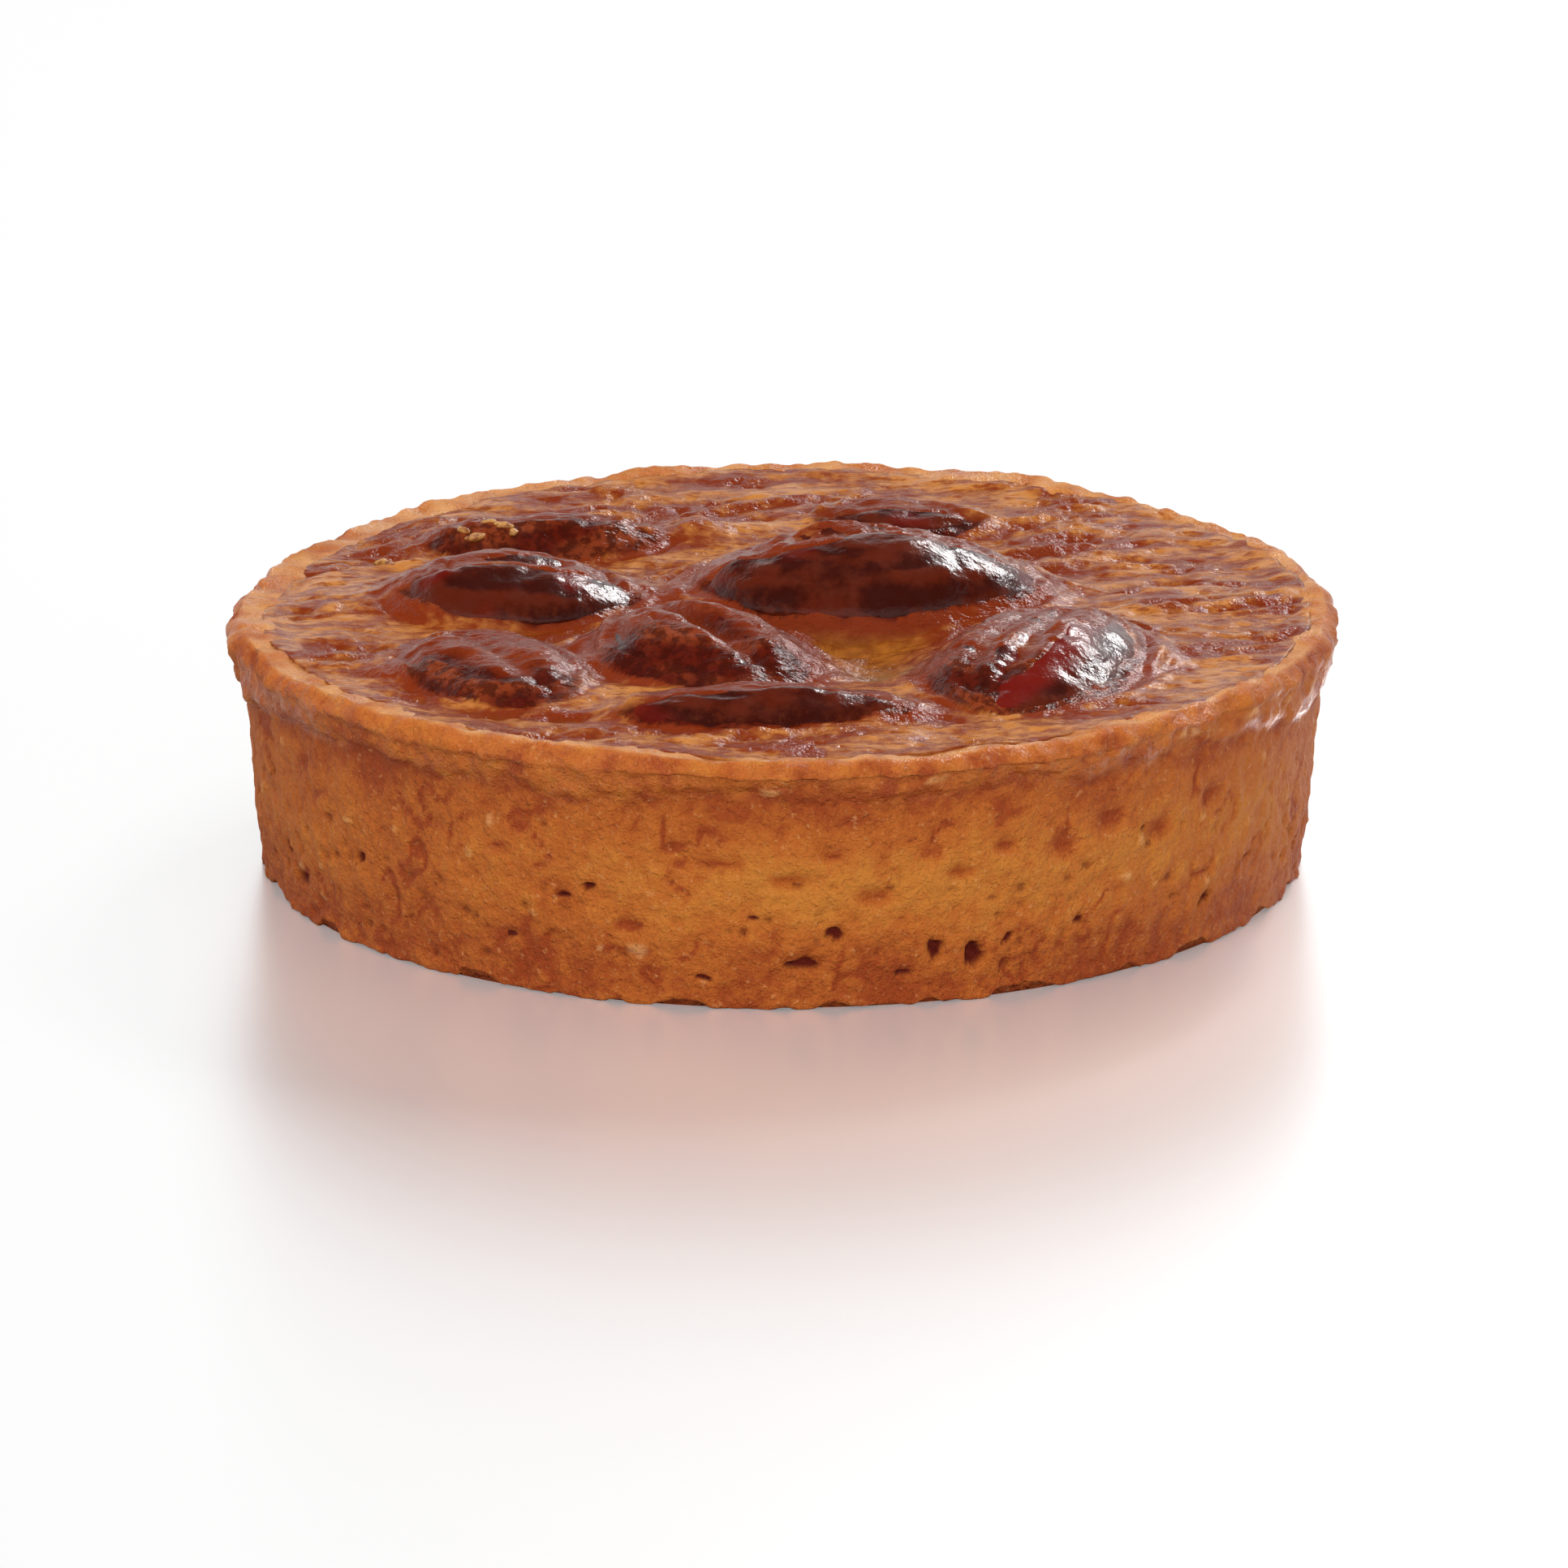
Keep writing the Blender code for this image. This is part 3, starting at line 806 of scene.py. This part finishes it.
bare_here = read_raster(blurred(bare, 0.25 * mm), skin_x, skin_y)
draped = read_raster(blurred(np.maximum(nuts_wide, deep + 2 * mm), 0.35 * mm), skin_x, skin_y)
draped += (0.16 * (1 - bare_here) - 0.22 * bare_here) * mm
fillet = 2.4 * mm * (1 - 0.75 * read_raster(facing_front_soft, skin_x, skin_y))
overlap = np.maximum(fillet - np.abs(level - draped), 0) / fillet
skin_z = np.maximum(level, draped) + 0.25 * fillet * overlap**2

steep = read_raster(fold_weight, skin_x, skin_y)
fine = read_raster(fine_folds, skin_x, skin_y)
wide = read_raster(wide_folds, skin_x, skin_y)
broad = read_raster(broad_folds, skin_x, skin_y)
wrinkled_places = (  # (x, y, half width, half depth) in mm
    (21.0, -25.6, 6.5, 2.2), (32.0, -10.5, 5.0, 2.0), (21.0, 19.0, 4.5, 8.0), (-4.0, -32.0, 12.0, 3.0),
    (-32.0, -12.0, 3.5, 5.0), (-29.5, 20.0, 5.0, 7.0), (-9.5, 27.0, 8.0, 5.0), (3.0, -8.0, 7.0, 8.0),
)
wrinkled = 0.7 * smooth_step(0.0, 0.5, grain(flat_points, (8 * mm, 4 * mm, mm), 63))
for x, y, half_width, half_depth in wrinkled_places:
    away = ((skin_x / mm - x) / half_width) ** 2 + ((skin_y / mm - y) / half_depth) ** 2
    wrinkled = np.maximum(wrinkled, np.exp(-away))
dimples = smooth_step(0.15, 0.55, grain(flat_points, (2.0 * mm, 1.3 * mm, mm), 62))
dimples *= 0.35 + 0.65 * wrinkled
on_flat = (0.22 + 0.9 * wrinkled) * (0.05 * fine + 0.08 * wide + 0.16 * broad) - 0.35 * dimples
skin_relief = steep * (0.09 * fine + 0.11 * wide) + (1 - steep) * on_flat
skin_relief += 0.16 * wrinkled * (1 - steep) * grain(flat_points, 0.9 * mm, 65)
skin_z += skin_relief * mm * np.maximum(inside_rim, 0.3)
skin_z = np.minimum(skin_z, cad_box[1][2] - 0.02 * mm)

cover = skin_z - read_raster(nuts_height, skin_x, skin_y)
thin = 1 - smooth_step(0.3 * mm, 2.4 * mm, cover)
front_here = read_raster(facing_front_soft, skin_x, skin_y)
near = read_raster(near_nuts, skin_x, skin_y)
# Where the skin is thin the kernel's dark colour shows; on slopes that face the front it is darkened further as
# painted shade
kernel_and_front_shade = thin * (0.25 + 0.75 * smooth_step(0.05, 0.6, front_here))
sunk = smooth_step(0.4 * mm, 1.4 * mm, filling_level - skin_z)
skin_points = np.stack([skin_x, skin_y, skin_z], axis=1)

side = top_cells + 1
index = np.arange(side * side).reshape(side, side)
skin_faces = np.stack([index[:-1, :-1], index[1:, :-1], index[1:, 1:], index[:-1, 1:]], axis=-1)
skin_faces = skin_faces.reshape(-1, 4).tolist()
border = np.concatenate([index[:-1, 0], index[-1, :-1], index[:0:-1, -1], index[0, :0:-1]])
under_ring = skin_points[border] * (1 - 0.9 * mm / skin_edge[border][:, None])
under_ring[:, 2] = filling_level - 2.2 * mm
under_middle = len(skin_points) + len(border)
for step in range(len(border)):
    following = (step + 1) % len(border)
    upper = (int(border[step]), int(border[following]))
    lower = (len(skin_points) + step, len(skin_points) + following)
    skin_faces.append((upper[1], upper[0], lower[0], lower[1]))
    skin_faces.append((lower[1], lower[0], under_middle))
under_points = np.vstack([skin_points, under_ring, [[0, 0, filling_level - 2.2 * mm]]])
spare = len(border) + 1

caramel = srgb(188, 120, 56)
caramel_dark = srgb(122, 43, 12)
custard = srgb(164, 96, 32)
custard_dark = srgb(128, 66, 20)
over_kernel = srgb(84, 20, 7)
tan_fold = srgb(142, 62, 26)
grey_patch = srgb(120, 96, 70)

skin = Nodes("caramel_skin")
tone = skin.sum(skin.noise(5.0, 3, 0.6), skin.noise(1.0, 3, 0.6), 0.6)
tone = skin.sum(tone, skin.value("wrinkled"), -0.22)
tone = skin.sum(tone, skin.value("near_nuts"), -0.30)
tone = skin.sum(tone, skin.value("fold"), 0.07)
colour = skin.blend(skin.span(tone, 0.56, 1.0), caramel_dark, caramel)
dashes = skin.noise(0.62, 3, 0.6, stretch=(0.4, 1.0, 1.0))
colour = skin.blend(skin.span(dashes, 0.5, 0.38, 0.0, 0.7), colour, caramel_dark)
ochre = skin.blend(skin.span(skin.noise(1.8, 3, 0.6), 0.34, 0.7), custard_dark, custard)
colour = skin.blend(skin.value("sunk"), colour, ochre)
over_nuts = skin.blend(skin.span(skin.value("fold"), -1.0, 1.8, 0.0, 0.7), over_kernel, tan_fold)
over_nuts = skin.blend(skin.span(skin.noise(0.9, 3, 0.65), 0.6, 0.42, 0.0, 0.75), over_nuts, nut_dark)
# The kernel's colour under thin skin, with painted shade on the front-facing slopes
colour = skin.blend(skin.value("kernel_and_front_shade"), colour, over_nuts)
colour = skin.blend(skin.value("grey_patch"), colour, grey_patch)
skin.link(colour, skin.shader.inputs["Base Color"])
skin.link(skin.span(skin.noise(2.2, 2, 0.5), 0.3, 0.7, 0.12, 0.26), skin.shader.inputs["Roughness"])
skin.set(Specular_IOR_Level=0.15, Subsurface_Weight=0.1, Subsurface_Scale=1.5 * mm)
skin.shader.inputs["Subsurface Radius"].default_value = (1.0, 0.4, 0.2)
sparkle = skin.product(skin.noise(0.7, 3, 0.65), skin.value("wrinkled"))
wrinkles = skin.noise(0.5, 3, 0.6, stretch=(0.4, 1.0, 1.0))
skin.bumps((wrinkles, 0.2), (sparkle, 0.38))

# A grey patch in the deep hollow at (7.6, -15.5) mm
grey_patch_spot = np.exp(-(((skin_x - 7.6 * mm) / (2.4 * mm)) ** 2 + ((skin_y + 15.5 * mm) / (2.4 * mm)) ** 2))
skin_values = {
    "kernel_and_front_shade": np.concatenate([kernel_and_front_shade, np.zeros(spare)]),
    "near_nuts": np.concatenate([near, np.zeros(spare)]),
    "sunk": np.concatenate([sunk, np.zeros(spare)]),
    "fold": np.concatenate([wide, np.zeros(spare)]),
    "wrinkled": np.concatenate([wrinkled, np.zeros(spare)]),
    "grey_patch": np.concatenate([0.8 * grey_patch_spot, np.zeros(spare)]),
}
filling = new_piece("filling_skin", under_points, skin_faces, skin.material, skin_values)
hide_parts("filling")
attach(filling, "root")

# ---------------------------------------------------------------- floor, light and camera
# A white sweep, a broad soft light from the front, one overhead and one from behind on the right.

scene = bpy.context.scene
scene.view_settings.view_transform = "Standard"


def softbox(name, aim, distance, size, power, direction):
    light = bpy.data.lights.new(name, "AREA")
    light.shape = "RECTANGLE"
    light.size, light.size_y = size
    light.energy = power
    lamp = bpy.data.objects.new(name, light)
    bpy.context.collection.objects.link(lamp)
    direction = Vector(direction).normalized()
    lamp.location = Vector(aim) + distance * direction
    lamp.rotation_euler = direction.to_track_quat("Z", "Y").to_euler()
    return lamp


middle = (0, 0, 0.5 * crest_height)
front_fill = softbox("front_fill", middle, 0.9, (2.0, 0.5), 7.3, (0.0, -1.0, 0.36))
front_fill.visible_glossy = False
back_right = softbox("back_right", middle, 0.7, (0.34, 0.13), 3.9, (0.46, 0.66, 0.58))
back_right.visible_diffuse = False
ceiling = softbox("ceiling", middle, 0.8, (1.4, 1.2), 10.0, (-0.1, 0.0, 1.0))
ceiling.visible_glossy = False

# The room: a white sweep up to about eye height, darker above it
world = bpy.data.worlds.new("white_room")
world.use_nodes = True
scene.world = world
room = world.node_tree


def room_node(kind, **values):
    node = room.nodes.new(kind)
    for name, value in values.items():
        socket_name = name.replace("_", " ")
        if socket_name in node.inputs:
            node.inputs[socket_name].default_value = value
        else:
            setattr(node, name, value)
    return node


looking = room_node("ShaderNodeTexCoord")
upward = room_node("ShaderNodeSeparateXYZ")
room.links.new(looking.outputs["Generated"], upward.inputs[0])
walls = room_node("ShaderNodeMapRange", From_Min=0.36, From_Max=0.66, To_Min=1.0, To_Max=0.06)
room.links.new(upward.outputs["Z"], walls.inputs["Value"])
light_path = room_node("ShaderNodeLightPath")
seen = room_node("ShaderNodeMath", operation="MAXIMUM")
room.links.new(light_path.outputs["Is Camera Ray"], seen.inputs[0])
room.links.new(light_path.outputs["Is Transmission Ray"], seen.inputs[1])
seen_or_glossy = room_node("ShaderNodeMath", operation="MAXIMUM")
room.links.new(seen.outputs[0], seen_or_glossy.inputs[0])
room.links.new(light_path.outputs["Is Glossy Ray"], seen_or_glossy.inputs[1])
share = room_node("ShaderNodeMapRange", To_Min=0.75, To_Max=1.0)
room.links.new(seen_or_glossy.outputs[0], share.inputs["Value"])
strength = room_node("ShaderNodeMath", operation="MULTIPLY")
room.links.new(walls.outputs["Result"], strength.inputs[0])
room.links.new(share.outputs["Result"], strength.inputs[1])
background = room.nodes["Background"]
background.inputs["Color"].default_value = (1, 1, 1, 1)
room.links.new(strength.outputs[0], background.inputs["Strength"])

floor_half = 3.0
floor_mesh = bpy.data.meshes.new("floor")
floor_mesh.from_pydata([(-floor_half, -floor_half, 0), (floor_half, -floor_half, 0),
                        (floor_half, floor_half, 0), (-floor_half, floor_half, 0)], [], [(0, 1, 2, 3)])
floor = bpy.data.objects.new("floor", floor_mesh)
bpy.context.collection.objects.link(floor)
floor_material = bpy.data.materials.new("white_gloss_floor")
floor_material.use_nodes = True
floor_tree = floor_material.node_tree
floor_shader = floor_tree.nodes["Principled BSDF"]
floor_shader.inputs["Base Color"].default_value = (1.0, 1.0, 1.0, 1)
floor_shader.inputs["Roughness"].default_value = 0.32
floor_shader.inputs["Metallic"].default_value = 0.85
floor_mesh.materials.append(floor_material)
glow = floor_tree.nodes.new("ShaderNodeEmission")
glow.inputs["Strength"].default_value = 1.5
floor_path = floor_tree.nodes.new("ShaderNodeLightPath")
glow_share = floor_tree.nodes.new("ShaderNodeMath")
glow_share.operation = "MULTIPLY"
glow_share.inputs[1].default_value = 0.15
floor_mix = floor_tree.nodes.new("ShaderNodeMixShader")
floor_out = floor_tree.nodes["Material Output"]
floor_tree.links.new(floor_path.outputs["Is Camera Ray"], glow_share.inputs[0])
floor_tree.links.new(glow_share.outputs[0], floor_mix.inputs["Fac"])
floor_tree.links.new(floor_shader.outputs[0], floor_mix.inputs[1])
floor_tree.links.new(glow.outputs[0], floor_mix.inputs[2])
floor_tree.links.new(floor_mix.outputs[0], floor_out.inputs["Surface"])
floor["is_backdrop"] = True

camera_distance = 1.0
camera_rise = math.radians(16.42)
aim_height = 0.5 * crest_height
camera_data = bpy.data.cameras.new("camera")
camera_data.sensor_width = 36.0
camera_data.lens = 301.5
camera_data.shift_y = -0.0347
camera_data.shift_x = 0.0013
camera_data.clip_start = 0.05
camera = bpy.data.objects.new("camera", camera_data)
bpy.context.collection.objects.link(camera)
camera.location = (0, -camera_distance * math.cos(camera_rise),
                   camera_distance * math.sin(camera_rise) + aim_height)
camera.rotation_euler = (math.radians(90) - camera_rise, 0, 0)
scene.camera = camera

low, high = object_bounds()
